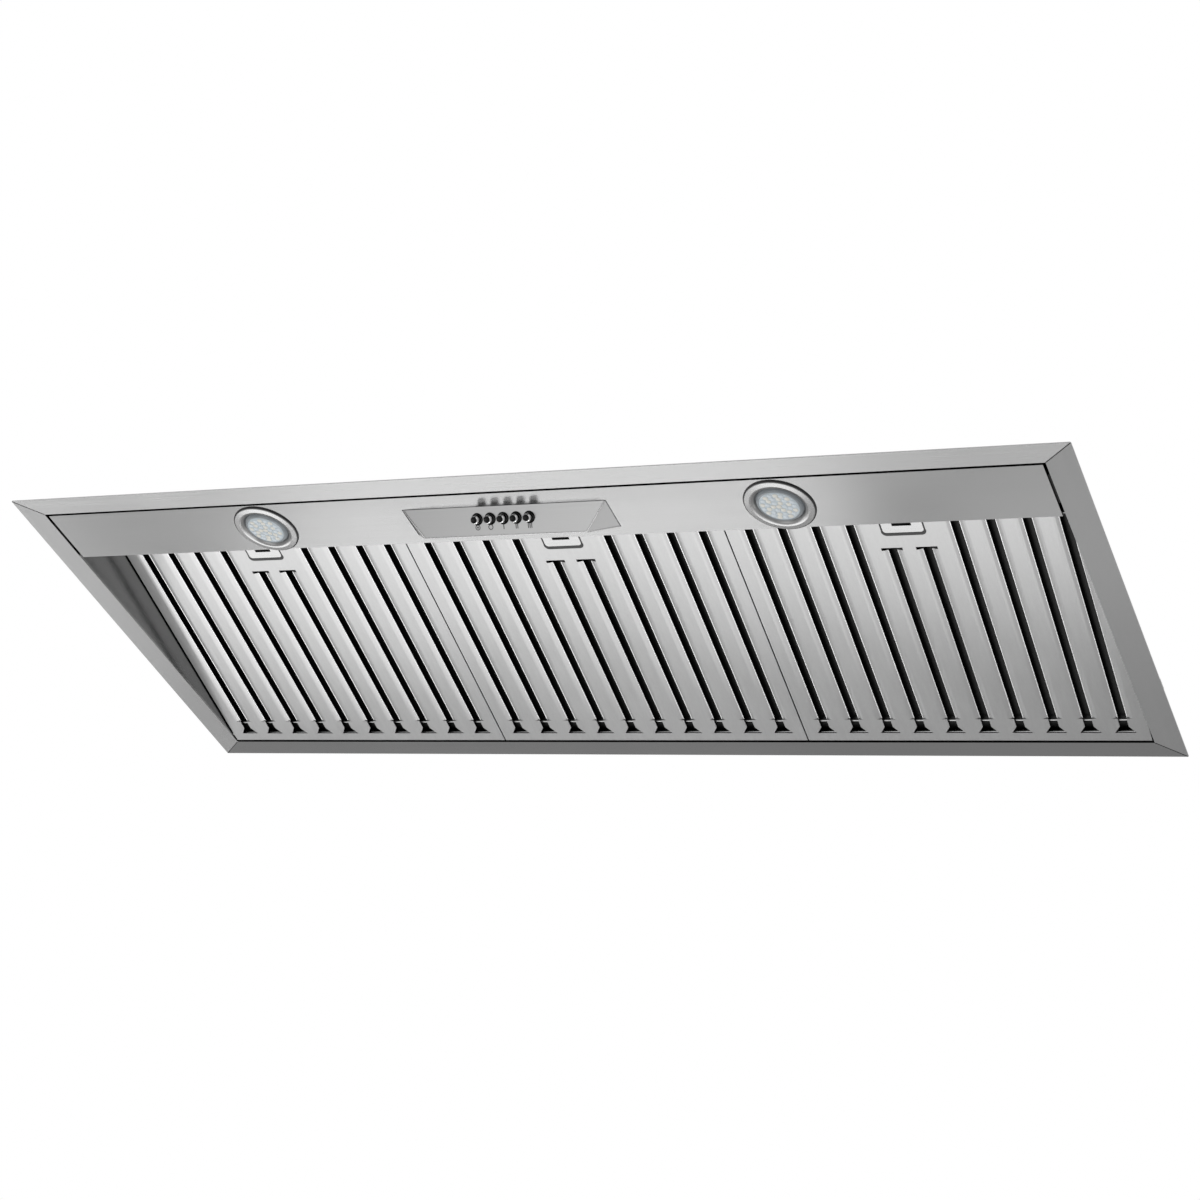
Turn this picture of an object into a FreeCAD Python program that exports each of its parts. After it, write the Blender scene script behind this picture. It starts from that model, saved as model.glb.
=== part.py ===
import FreeCAD, Part
import math
import os
from FreeCAD import Vector, Rotation, Placement

os.makedirs("parts", exist_ok=True)

# Driving dimensions in mm: X across, Y back from the front edge, Z up from the flange underside
hood_width = 1178.0
hood_depth = 486.0
flange_side = 28.9
flange_end = 24.7
sheet = 1.2
thin_sheet = 0.8
front_leg = 18.0
side_leg = 63.8
plenum_height = 200.0
top_front_share = 0.489
top_inset = 141.3
mitre_gap = 0.8
panel_recess = 0.4
panel_gap = 3.4
panel_rear = 100.0
panel_return = 14.0
bracket_inset = 16.0
fixing_r = 3.2
shield_rise_y = 127.0
shield_rise_z = 56.0
light_x = 292.0
light_y = 65.5
light_trim_r = 35.0
light_body_r = 28.0
light_lens_r = 22.0
light_depth = 18.0
control_half = 115.0
control_front = 47.3
control_rear = 86.4
ridge_y = 69.0
ridge_drop = 20.0
ridge_half = 92.0
window_gap = 0.9
button_pitch = 14.8
button_count = 5
button_r = 4.3
button_proud = 7.0
button_travel = 3.0
button_along = 0.42
stem_r = 2.3
clear = 0.3
run_clear = 0.05
filter_count = 3
filter_gap = 1.5
filter_side_gap = 1.8
filter_rear_gap = 3.3
filter_rear_z = 0.5
filter_slope = math.atan(0.169)
filter_front_y = 138.0
filter_thick = 9.0
slot_count = 10
slot_edge = 0.37
slot_half = 11.0
throat_half = 4.6
bevel_rise = 1.7
foot_start = 11.2
foot_rise = 9.0
bevel_start = 31.4
slot_front_border = 14.0
latch_slot_back = 54.5
slit = 3.6
latch_half = 21.0
latch_back = 35.0
latch_length = 26.0
finger_half = 10.0
finger_length = 9.0
latch_travel = 5.0
bolt_half = 15.0
tongue_half = 8.0
tongue_out = 5.0
rod_r = 2.0
rod_u = 8.0
rod_n = 4.8
duct_r = 75.0
collar_height = 40.0
duct_back = 111.3
damper_z = 14.0
damper_pin_r = 2.0
hanger_side_inset = 289.0
hanger_share = 0.7153
hanger_hole_r = 4.25
wheel_height_share = 0.56
scroll_share = 0.33
scroll_back_gap = 11.3
wheel_clear = 8.0
blade_count = 36
scroll_growth = 0.106
scroll_half = 50.0
motor_share = 0.22
foot_share = 0.08
foot_out = 16.0
foot_half = 7.0
motor_length = 62.0
shaft_r = 4.0
gland_hole_r = 8.0
jbox_half = 45.0
jbox_half_y = 40.0
jbox_depth = 40.0
jbox_wall = 1.5
cap_r = 18.0
cap_length = 60.0
strap_half = 6.0
driver_length = 80.0
driver_height = 20.0

# Sizes that follow from the driving ones
half = hood_width / 2
inner_x = half - flange_side
outer_x = inner_x + sheet
inner_front = flange_end
inner_rear = hood_depth - flange_end
outer_front = inner_front - sheet
outer_rear = inner_rear + sheet
top_front = hood_depth * top_front_share
top_half = outer_x - top_inset
plenum_slope = (plenum_height - front_leg) / (top_front - outer_front)
duct_y = inner_rear - duct_back
hanger_x = 2 * (half - hanger_side_inset)
hanger_y = round(hanger_share * (inner_rear - top_front))
filter_rear_y = inner_rear - filter_rear_gap
filter_width = (2 * (inner_x - filter_side_gap) - (filter_count - 1) * filter_gap) / filter_count
filter_pitch = filter_width + filter_gap
slot_pitch = filter_width / (slot_count + slot_edge)
filter_length = (filter_rear_y - filter_front_y) / math.cos(filter_slope)
latch_slot_end = filter_length - latch_slot_back
latch_rear = filter_length - latch_back
wheel_half = scroll_half - wheel_clear
rail_lip = (filter_rear_z + filter_length * math.sin(filter_slope)
            + filter_thick * math.cos(filter_slope) + clear)
scroll_r = scroll_share * plenum_height
scroll_step = scroll_growth * scroll_r
wheel_r = scroll_r - wheel_clear
wheel_y = inner_rear - scroll_r - scroll_back_gap
wheel_z = wheel_height_share * plenum_height
motor_r = motor_share * plenum_height
scroll_front = wheel_y - scroll_r - 3 * scroll_step
gland_x = hanger_x / 2 + 30
origin = Vector(0, duct_y, plenum_height)
big = 3000.0


def save(shape, name):
    shape = shape.removeSplitter()
    shape.translate(Vector(-origin.x, -origin.y, -origin.z))
    shape.exportStep("parts/" + name + ".step")


def box(x0, x1, y0, y1, z0, z1):
    return Part.makeBox(x1 - x0, y1 - y0, z1 - z0, Vector(x0, y0, z0))


def cyl(r, length, at, along):
    return Part.makeCylinder(r, length, at, along)


def prism(points, push):
    wire = Part.makePolygon(points + [points[0]])
    return Part.Face(wire).extrude(push)


def slab(at, normal, depth):
    sheet_box = Part.makeBox(big * 2, big * 2, depth, Vector(-big, -big, 0))
    sheet_box.Placement = Placement(at, Rotation(Vector(0, 0, 1), normal))
    return sheet_box


def join(shapes):
    if len(shapes) == 1:
        return shapes[0]
    return shapes[0].multiFuse(shapes[1:])


def mirror_x(shape):
    return shape.mirror(Vector(0, 0, 0), Vector(1, 0, 0))


# Plenum hull and the planes of its plates
front_normal = Vector(0, -plenum_slope, 1).normalize()
front_at = Vector(0, outer_front, front_leg)
side_normal = Vector(plenum_height - side_leg, 0, outer_x - top_half).normalize()
side_at = Vector(outer_x, 0, side_leg)
hull = box(-outer_x, outer_x, outer_front, outer_rear, front_leg, plenum_height)
hull = hull.cut(slab(front_at, front_normal, big))
hull = hull.cut(slab(side_at, side_normal, big))
hull = hull.cut(mirror_x(slab(side_at, side_normal, big)))
front_slab = slab(front_at - front_normal * sheet, front_normal, sheet)
side_slab = slab(side_at - side_normal * sheet, side_normal, sheet)

top = hull.common(box(-big, big, -big, big, plenum_height - sheet, plenum_height))
above_leg = box(-big, big, -big, big, side_leg, plenum_height)
back = hull.common(box(-big, big, inner_rear, outer_rear, side_leg, plenum_height)).cut(top)
front = hull.common(front_slab).cut(top)
side = hull.common(side_slab).common(above_leg).cut(top).cut(back).cut(front_slab)

outlet = box(-scroll_half, scroll_half, scroll_front, wheel_y,
             plenum_height - 2 * sheet, plenum_height + sheet)
top = top.cut(outlet)
for sx in (-1, 1):
    for sy in (-1, 1):
        at = Vector(sx * hanger_x / 2, duct_y + sy * hanger_y / 2, plenum_height - 2 * sheet)
        top = top.cut(cyl(hanger_hole_r, 3 * sheet, at, Vector(0, 0, 1)))
gland_at = Vector(gland_x, duct_y, plenum_height - 2 * sheet)
top = top.cut(cyl(gland_hole_r, 3 * sheet, gland_at, Vector(0, 0, 1)))
save(top, "top_plate")
save(back, "plenum_back")
save(front, "plenum_front")
save(side, "plenum_right")
save(mirror_x(side), "plenum_left")

# Mitred flange angles with their upright legs
m = mitre_gap / 2
front_flat = prism([Vector(-half + m, 0, 0), Vector(half - m, 0, 0),
                    Vector(inner_x - m, inner_front, 0), Vector(-inner_x + m, inner_front, 0)],
                   Vector(0, 0, sheet))
front_up = box(-outer_x, outer_x, outer_front, inner_front, sheet, front_leg).cut(front)
save(join([front_flat, front_up]), "flange_front")
rear_flat = prism([Vector(-half + m, hood_depth, 0), Vector(half - m, hood_depth, 0),
                   Vector(inner_x - m, inner_rear, 0), Vector(-inner_x + m, inner_rear, 0)],
                  Vector(0, 0, sheet))
rear_up = box(-outer_x, outer_x, inner_rear, outer_rear, sheet, side_leg)
save(join([rear_flat, rear_up]), "flange_rear")
side_flat = prism([Vector(half, m, 0), Vector(half, hood_depth - m, 0),
                   Vector(inner_x, inner_rear - m, 0), Vector(inner_x, inner_front + m, 0)],
                  Vector(0, 0, sheet))
side_up = box(inner_x, outer_x, inner_front, inner_rear, sheet, side_leg)
side_up = side_up.cut(slab(front_at - front_normal * sheet, front_normal, big))
side_flange = join([side_flat, side_up])
save(side_flange, "flange_right")
save(mirror_x(side_flange), "flange_left")

# Front panel: a tray with light holes and a control opening
panel_x = inner_x - panel_gap
panel_front = inner_front + panel_gap
panel_top = panel_recess + thin_sheet
panel_floor = box(-panel_x, panel_x, panel_front, panel_rear, panel_recess, panel_top)
panel_wall = box(-panel_x, panel_x, panel_front, panel_rear, panel_recess, panel_return)
panel_wall = panel_wall.cut(box(-panel_x + thin_sheet, panel_x - thin_sheet, panel_front + thin_sheet,
                                panel_rear - thin_sheet, 0, panel_return + 1))
panel = join([panel_floor, panel_wall])
control_window = box(-control_half - window_gap, control_half + window_gap, control_front - window_gap,
                     control_rear + window_gap, 0, 5)
panel = panel.cut(control_window)
for sx in (-1, 1):
    at = Vector(sx * light_x, light_y, 0)
    panel = panel.cut(cyl(light_body_r + clear, 5, at, Vector(0, 0, 1)))
save(panel, "front_panel")
bracket_y0 = panel_front + bracket_inset
bracket_y1 = panel_rear - bracket_inset
bracket_z = panel_return / 2
bracket = box(panel_x, inner_x, bracket_y0, bracket_y1, 0.2 * panel_return, 0.85 * panel_return)
fixings = [bracket, mirror_x(bracket)]
for sx in (-1, 1):
    for y in (bracket_y0 + 2 * fixing_r, bracket_y1 - 2 * fixing_r):
        fixings.append(cyl(fixing_r, fixing_r / 2, Vector(sx * outer_x, y, bracket_z), Vector(sx, 0, 0)))
save(Part.makeCompound(fixings), "panel_fixings")


# Control housing: a hipped wedge shell with a lap flange above the panel
def wedge(inset, drop, top_z):
    x = control_half - inset
    y0 = control_front + inset
    y1 = control_rear - inset
    base_z = panel_recess
    xr = ridge_half - 0.3 * inset
    ridge_z = -ridge_drop + drop
    a = [Vector(-x, y0, base_z), Vector(x, y0, base_z), Vector(x, y1, base_z), Vector(-x, y1, base_z)]
    r0 = Vector(-xr, ridge_y, ridge_z)
    r1 = Vector(xr, ridge_y, ridge_z)
    faces = []
    for loop in ([a[0], a[1], r1, r0], [a[2], a[3], r0, r1], [a[1], a[2], r1], [a[3], a[0], r0],
                 [a[0], a[3], a[2], a[1]]):
        faces.append(Part.Face(Part.makePolygon(loop + [loop[0]])))
    solid = Part.Solid(Part.Shell(faces))
    if solid.Volume < 0:
        solid.reverse()
    return solid.fuse(box(-x, x, y0, y1, base_z, top_z))


lap = 5.0
lap_top = panel_top + 1.0
control = wedge(0, 0, lap_top)
control = control.fuse(box(-control_half - lap, control_half + lap, control_front - lap,
                           control_rear + lap, panel_top, lap_top))
control = control.cut(wedge(1.3, 1.5, lap_top + 1))
face_dir = Vector(0, ridge_y - control_front, -ridge_drop - panel_recess).normalize()
face_out = Vector(0, face_dir.z, -face_dir.y)
face_len = math.hypot(ridge_y - control_front, ridge_drop + panel_recess)
button_base = Vector(0, control_front, panel_recess) + face_dir * (face_len * button_along)
block_gap = button_travel + 1.5
block_depth = 7.0


def face_box(x0, x1, s0, s1, n0, n1):
    corner = [Vector(x0, 0, 0) + button_base + face_dir * s + face_out * n
              for s, n in ((s0, n0), (s1, n0), (s1, n1), (s0, n1))]
    return prism(corner, Vector(x1 - x0, 0, 0))


button_x = [(i - (button_count - 1) / 2) * button_pitch for i in range(button_count)]
block_half = button_x[-1] + 11
block = face_box(-block_half, block_half, -5.5, 5.5, -block_gap - block_depth, -block_gap)
posts = [face_box(sx * (block_half - 2.5) - 2.5, sx * (block_half - 2.5) + 2.5, -4, 4, -block_gap, -1.1)
         for sx in (-1, 1)]
block = join([block] + posts).cut(control)
for i, x in enumerate(button_x):
    base = button_base + Vector(x, 0, 0)
    control = control.cut(cyl(button_r + clear, 8, base - face_out * 4, face_out))
    bore_end = base - face_out * (block_gap + block_depth - 1)
    bore = cyl(stem_r + run_clear, block_depth - 1, bore_end, face_out)
    block = block.cut(bore)
    cap = cyl(button_r, button_proud + 1, base - face_out, face_out)
    rim = [e for e in cap.Edges if e.Curve.TypeId == "Part::GeomCircle"
           and (e.Curve.Center - base).dot(face_out) > button_proud - 0.1]
    cap = cap.makeChamfer(1.1, rim)
    stem = cyl(stem_r, block_gap + 2, base - face_out * (block_gap + 2), face_out)
    save(cap.fuse(stem), "button_" + str(i + 1))
save(control, "control_housing")
save(block, "switch_block")


# Lights: trim ring, lens, board and lamp body, each turned about the light's axis
def turned(points, at):
    wire = Part.makePolygon([Vector(r, 0, z) for r, z in points + [points[0]]])
    solid = Part.Face(wire).revolve(Vector(0, 0, 0), Vector(0, 0, 1), 360)
    solid.translate(at)
    return solid


lens_z = -0.6
for sx, label in ((-1, "left"), (1, "right")):
    at = Vector(sx * light_x, light_y, 0)
    trim_in = light_lens_r + 3.0
    save(turned([(light_trim_r - 1.2, panel_recess), (light_trim_r, panel_recess - 0.7),
                 (light_trim_r - 1.0, -1.6), (light_body_r + 1.2, -2.2), (trim_in + 1.2, -1.2),
                 (trim_in, 1.6), (trim_in, panel_top + 2), (light_body_r, panel_top + 2),
                 (light_body_r, panel_recess)], at), "light_trim_" + label)
    save(turned([(0, lens_z - 1.6), (light_lens_r - 3, lens_z - 1.6), (light_lens_r, lens_z),
                 (light_lens_r, panel_top + 1), (trim_in - clear, panel_top + 1),
                 (trim_in - clear, panel_top + 2),
                 (light_lens_r - 1, panel_top + 2), (light_lens_r - 1, lens_z), (0, lens_z)], at),
         "light_lens_" + label)
    body_z = panel_top + 2
    lamp = turned([(0, body_z + 3), (light_lens_r - 1, body_z + 3), (light_lens_r - 1, body_z),
                   (light_body_r, body_z), (light_body_r, body_z + 6),
                   (light_body_r - 4, body_z + light_depth), (0, body_z + light_depth)], at)
    board_r = light_lens_r - 1 - clear
    save(turned([(0, body_z + 1.4), (board_r, body_z + 1.4), (board_r, body_z + 3), (0, body_z + 3)], at),
         "led_board_" + label)
    clips = []
    for cx in (-1, 1):
        leg = [Vector(at.x + cx * (light_body_r - 2), at.y - 5, body_z + 2),
               Vector(at.x + cx * (light_body_r + 1), at.y - 5, body_z + 2),
               Vector(at.x + cx * (light_body_r + 6), at.y - 5, panel_top + 0.8),
               Vector(at.x + cx * (light_body_r + 8), at.y - 5, panel_top),
               Vector(at.x + cx * (light_body_r + 9), at.y - 5, panel_top + 0.8),
               Vector(at.x + cx * (light_body_r + 1), at.y - 5, body_z + 6),
               Vector(at.x + cx * (light_body_r - 2), at.y - 5, body_z + 6)]
        clips.append(prism(leg, Vector(0, 10, 0)).cut(cyl(light_body_r, 30, at, Vector(0, 0, 1))))
    save(join([lamp] + clips), "lamp_body_" + label)

# Electrics shield behind the panel and the filter rail with open keepers
shield_in = panel_rear
shield_low = [(shield_in, 5.0), (shield_in, 30.0), (shield_rise_y, shield_rise_z), (shield_rise_y, 115.0)]
outline = [Vector(0, y, z) for y, z in shield_low]
outline += [Vector(0, y + sheet, z) for y, z in reversed(shield_low)]
shield = prism([p + Vector(-inner_x, 0, 0) for p in outline], Vector(2 * inner_x, 0, 0))
shield = shield.cut(slab(front_at - front_normal * sheet, front_normal, big))
side_wall = slab(side_at - side_normal * sheet, side_normal, big)
shield = shield.cut(side_wall).cut(mirror_x(side_wall))
save(shield, "electrics_shield")
rail_y = shield_rise_y + sheet
keeper = box(-inner_x, inner_x, rail_y, rail_y + sheet, rail_lip - filter_thick, rail_lip)
keeper = keeper.cut(side_wall).cut(mirror_x(side_wall))
ledge = box(-inner_x, inner_x, rail_y, filter_front_y + 8, rail_lip, rail_lip + sheet)
ledge = ledge.cut(side_wall).cut(mirror_x(side_wall))

# Baffle filters, drawn flat (u from the rear edge, v across, n up) and tilted into place
filter_turn = Rotation(Vector(1, 0, 0), -math.degrees(filter_slope))


def place_filter(shape, x):
    shape = shape.copy()
    seat = Placement(Vector(x, filter_rear_y, filter_rear_z), filter_turn)
    shape.Placement = seat.multiply(shape.Placement)
    return shape


def flat(v0, v1, u0, u1, n0, n1):
    return box(v0, v1, -u1, -u0, n0, n1)


def slot_cut(v, u_end):
    n0 = -1.0
    opening = flat(v - slot_half, v + slot_half, bevel_start, u_end, n0, 2)
    neck = flat(v - throat_half, v + throat_half, foot_start, bevel_start, n0, 2)
    foot = prism([Vector(v - slot_half, -foot_start, n0), Vector(v + slot_half, -foot_start, n0),
                  Vector(v + throat_half, -foot_start - foot_rise, n0),
                  Vector(v - throat_half, -foot_start - foot_rise, n0)], Vector(0, 0, 3))
    return [opening, neck, foot]


def bevel_pair(v, u_end, up):
    pair = []
    length = u_end - slit - bevel_start
    for s in (-1, 1):
        lead = Vector(v + s * slot_half, -bevel_start, 0)
        bend = lead + Vector(-s * 2.6, 0, up * 0.35)
        tip = Vector(v + s * throat_half, -bevel_start, up * bevel_rise)
        t = Vector(0, 0, up * thin_sheet)
        low = [lead, bend, tip]
        pair.append(prism(low + [p + t for p in reversed(low)], Vector(0, -length, 0)))
    return pair


slot_v = [(i - (slot_count - 1) / 2) * slot_pitch for i in range(slot_count)]
face_sheet = flat(-filter_width / 2, filter_width / 2, 0, filter_length, 0, thin_sheet)
cuts = []
bevels = []
for i, v in enumerate(slot_v):
    middle = i in (slot_count // 2 - 1, slot_count // 2)
    u_end = latch_slot_end if middle else filter_length - slot_front_border
    cuts += slot_cut(v, u_end)
    bevels += bevel_pair(v, u_end, 1)
latch_gap = 1.8
window = flat(-latch_half - latch_gap, latch_half + latch_gap, latch_rear - latch_gap,
              latch_rear + latch_length + latch_gap, -1, 2)
corner_edges = [e for e in window.Edges if abs(e.tangentAt(e.FirstParameter).z) > 0.9]
window = window.makeFillet(4.0, corner_edges)
face_sheet = face_sheet.cut(join(cuts + [window]))
face_sheet = join([face_sheet] + bevels)

back_top = filter_thick
back_low = filter_thick - thin_sheet
back_sheet = flat(-filter_width / 2, filter_width / 2, 0, filter_length, back_low, back_top)
back_cuts = []
back_bevels = []
back_end = latch_slot_end
for i in range(slot_count - 1):
    v = slot_v[i] + slot_pitch / 2
    back_cuts.append(flat(v - slot_half, v + slot_half, bevel_start, back_end, back_low - 1, back_top + 1))
    for piece in bevel_pair(v, back_end + slit, -1):
        piece.translate(Vector(0, 0, back_top))
        back_bevels.append(piece)
back_sheet = join([back_sheet.cut(join(back_cuts))] + back_bevels)

edge = 1.0
frame_ring = flat(-filter_width / 2, filter_width / 2, 0, filter_length, thin_sheet, back_low)
frame_ring = frame_ring.cut(flat(-filter_width / 2 + edge, filter_width / 2 - edge,
                                 edge, filter_length - edge, 0, back_top))
rod_start = Vector(-filter_width / 2 - 1, -rod_u, rod_n)
rod_hole = cyl(rod_r + run_clear, filter_width + 2, rod_start, Vector(1, 0, 0))
frame_ring = frame_ring.cut(rod_hole)
bolt_low = thin_sheet + 1.2
bolt_top = bolt_low + 3.6
frame_ring = frame_ring.cut(flat(-tongue_half - clear, tongue_half + clear, filter_length - 2,
                                 filter_length + 1, bolt_low - clear, bolt_top + clear))

case_wall = 1.0
case_half = bolt_half + clear + case_wall
case_front = latch_rear + latch_length
case_top = bolt_top + clear + case_wall
bezel = flat(-latch_half, latch_half, latch_rear, case_front, 0, thin_sheet)
bezel = bezel.makeFillet(3.5, [e for e in bezel.Edges if abs(e.tangentAt(e.FirstParameter).z) > 0.9])
case = bezel.fuse(flat(-latch_half - 4, latch_half + 4, latch_rear - 4, case_front,
                       thin_sheet, thin_sheet + 0.9))
case = case.fuse(flat(-case_half, case_half, latch_rear, case_front, thin_sheet, case_top))
case = case.cut(flat(-bolt_half - clear, bolt_half + clear, latch_rear + case_wall, case_front + 1,
                     bolt_low - clear, bolt_top + clear))
finger_u = latch_rear + 8.5
case = case.cut(flat(-finger_half, finger_half, finger_u, finger_u + finger_length, -1, bolt_low))
bolt_rear = latch_rear + case_wall + latch_travel + 0.6
bolt = flat(-bolt_half, bolt_half, bolt_rear, case_front, bolt_low, bolt_top)
bolt = bolt.cut(flat(-finger_half + 1.5, finger_half - 1.5, finger_u + 1,
                     finger_u + finger_length + latch_travel, bolt_low - 1, bolt_top - 1))
bolt = bolt.fuse(flat(-tongue_half, tongue_half, case_front - 1, filter_length + tongue_out,
                      bolt_low, bolt_top))

filter_names = ["left", "middle", "right"]
for i, label in enumerate(filter_names):
    x = (i - (filter_count - 1) / 2) * filter_pitch
    save(place_filter(face_sheet, x), "filter_face_" + label)
    save(place_filter(back_sheet, x), "filter_back_" + label)
    save(place_filter(frame_ring, x), "filter_frame_" + label)
    save(place_filter(case, x), "latch_case_" + label)
    save(place_filter(bolt, x), "latch_bolt_" + label)
    keeper = keeper.cut(box(x - tongue_half - 1, x + tongue_half + 1, rail_y, rail_y + sheet, 0, rail_lip))
save(Part.makeCompound(keeper.Solids + [ledge]), "filter_rail")

# Pivot rod through the filter frames, with a boss welded to each side wall
rod_at = place_filter(Part.Vertex(Vector(0, -rod_u, rod_n)), 0).Point
rod = cyl(rod_r, 2 * inner_x, Vector(-inner_x, rod_at.y, rod_at.z), Vector(1, 0, 0))
boss_length = filter_side_gap - 0.6
boss = cyl(4.0, boss_length, Vector(inner_x - boss_length, rod_at.y, rod_at.z), Vector(1, 0, 0))
save(join([rod, boss, mirror_x(boss)]), "pivot_rod")

# Duct collar with its damper pin and two flaps
collar_z = plenum_height
collar = cyl(duct_r, collar_height, Vector(0, duct_y, collar_z), Vector(0, 0, 1))
collar = collar.fuse(cyl(duct_r + 14, sheet, Vector(0, duct_y, collar_z), Vector(0, 0, 1)))
collar = collar.cut(cyl(duct_r - sheet, 80, Vector(0, duct_y, collar_z - 20), Vector(0, 0, 1)))
pin_z = collar_z + damper_z
pin_hole = cyl(damper_pin_r, 2 * duct_r + 20, Vector(-duct_r - 10, duct_y, pin_z), Vector(1, 0, 0))
save(collar.cut(pin_hole), "duct_collar")
save(cyl(damper_pin_r, 2 * duct_r, Vector(-duct_r, duct_y, pin_z), Vector(1, 0, 0)), "damper_pin")
flap_r = duct_r - sheet - 1.5
knuckle_r = damper_pin_r + run_clear + 1.0
flap_t = 0.8
flap_disc = cyl(flap_r, flap_t, Vector(0, duct_y, pin_z - flap_t / 2), Vector(0, 0, 1))
knuckle_rows = {"front": ((-62, -22), (4, 18)), "rear": ((-18, -4), (22, 62))}
for label, sy in (("front", -1), ("rear", 1)):
    keep = box(-flap_r, flap_r, duct_y, duct_y + flap_r, pin_z - 5, pin_z + 5)
    if sy < 0:
        keep = box(-flap_r, flap_r, duct_y - flap_r, duct_y, pin_z - 5, pin_z + 5)
    pin_start = Vector(-100, duct_y, pin_z)
    blade = flap_disc.common(keep).cut(cyl(knuckle_r + 0.6, 200, pin_start, Vector(1, 0, 0)))
    rolls = []
    for x0, x1 in knuckle_rows[label]:
        rolls.append(cyl(knuckle_r, x1 - x0, Vector(x0, duct_y, pin_z), Vector(1, 0, 0)))
        y0 = duct_y + sy * knuckle_r * 0.5
        y1 = duct_y + sy * (knuckle_r + 2)
        rolls.append(box(x0, x1, min(y0, y1), max(y0, y1), pin_z - flap_t / 2, pin_z + flap_t / 2))
    flap = join([blade] + rolls).cut(cyl(damper_pin_r + run_clear, 200, pin_start, Vector(1, 0, 0)))
    save(flap, "damper_flap_" + label)

# Blower: a scroll of three tangent arcs, side plates, impeller, shaft and motor
wall = sheet
exit_z = plenum_height - sheet


def scroll_wire(grow):
    r = scroll_r + grow
    s = scroll_step
    y = wheel_y
    z = wheel_z

    def arc(cy, cz, radius, a0):
        mid = math.radians(a0 - 45)
        end = math.radians(a0 - 90)
        start = math.radians(a0)
        pts = [Vector(0, cy + radius * math.cos(a), cz + radius * math.sin(a)) for a in (start, mid, end)]
        return Part.Arc(pts[0], pts[1], pts[2]).toShape(), pts

    arc1, p1 = arc(y, z, r, 90)
    arc2, p2 = arc(y - s, z, r + s, 0)
    arc3, p3 = arc(y - s, z + s, r + 2 * s, -90)
    first = Vector(0, p1[0].y, exit_z)
    last = Vector(0, p3[2].y, exit_z)
    return [Part.makeLine(first, p1[0]), arc1, arc2, arc3, Part.makeLine(p3[2], last)], first, last


inner_edges, in_first, in_last = scroll_wire(0)
outer_edges, out_first, out_last = scroll_wire(wall)
inner_wire = Part.Wire(inner_edges + [Part.makeLine(in_last, in_first)])
outer_wire = Part.Wire(outer_edges + [Part.makeLine(out_last, out_first)])
span = Vector(2 * scroll_half, 0, 0)
start_x = Vector(-scroll_half, 0, 0)
inner_core = Part.Face(inner_wire).extrude(span)
outer_core = Part.Face(outer_wire).extrude(span)
wrap = outer_core.cut(inner_core)
wrap.translate(start_x)
cheek = Part.Face(outer_wire).extrude(Vector(sheet, 0, 0))
inlet_r = wheel_r - 10
wheel_at = Vector(0, wheel_y, wheel_z)
x_axis = Vector(1, 0, 0)
inlet_side = cheek.copy()
inlet_side.translate(Vector(scroll_half, 0, 0))
inlet_side = inlet_side.cut(cyl(inlet_r, 10, wheel_at + Vector(scroll_half - 2, 0, 0), x_axis))
ring = cyl(inlet_r + 5, 5, wheel_at + Vector(scroll_half + sheet, 0, 0), x_axis)
ring = ring.cut(cyl(inlet_r, 20, wheel_at + Vector(scroll_half - 5, 0, 0), x_axis))
save(inlet_side.fuse(ring), "scroll_inlet_plate")
motor_side = cheek.copy()
motor_side.translate(Vector(-scroll_half - sheet, 0, 0))
motor_side = motor_side.cut(cyl(12, 10, wheel_at + Vector(-scroll_half - 4, 0, 0), x_axis))
save(wrap.fuse(motor_side), "scroll_case")

motor_end = -scroll_half - sheet
motor = cyl(motor_r, motor_length, wheel_at + Vector(motor_end - motor_length, 0, 0), x_axis)
motor = motor.makeChamfer(6, [motor.Edges[i] for i in range(len(motor.Edges))
                             if motor.Edges[i].Curve.TypeId == "Part::GeomCircle"
                             and motor.Edges[i].Curve.Center.x < motor_end - 1])
motor = motor.cut(cyl(shaft_r + run_clear, 30, wheel_at + Vector(motor_end - 20, 0, 0), x_axis))
save(motor, "motor")
back_x = -wheel_half
shaft = cyl(shaft_r, 14 + back_x + 14 - motor_end, wheel_at + Vector(motor_end - 14, 0, 0), x_axis)
save(shaft, "motor_shaft")

blade_in = wheel_r - 12
disc = cyl(wheel_r, 1.5, wheel_at + Vector(back_x, 0, 0), x_axis)
wheel_hub = cyl(11, 14, wheel_at + Vector(back_x, 0, 0), x_axis)
rim = cyl(wheel_r, 3, wheel_at + Vector(wheel_half - 3, 0, 0), x_axis)
rim = rim.cut(cyl(wheel_r - 4, 5, wheel_at + Vector(wheel_half - 4, 0, 0), x_axis))
blades = []
for i in range(blade_count):
    turn = 360.0 * i / blade_count
    lead = [(blade_in, 0.0), ((blade_in + wheel_r) / 2, 5.0), (wheel_r - 0.6, 13.0)]
    low = [Vector(0, r * math.cos(math.radians(a)), r * math.sin(math.radians(a))) for r, a in lead]
    high = [Rotation(x_axis, 1.2).multVec(p) for p in low]
    blade = prism(low + high[::-1], Vector(2 * wheel_half - 2, 0, 0))
    blade.translate(wheel_at + Vector(back_x + 1, 0, 0))
    blade.rotate(wheel_at, x_axis, turn)
    blades.append(blade)
impeller = join([disc, wheel_hub, rim] + blades)
impeller = impeller.cut(cyl(shaft_r, 40, wheel_at + Vector(back_x - 1, 0, 0), x_axis))
save(impeller, "impeller")

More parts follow.
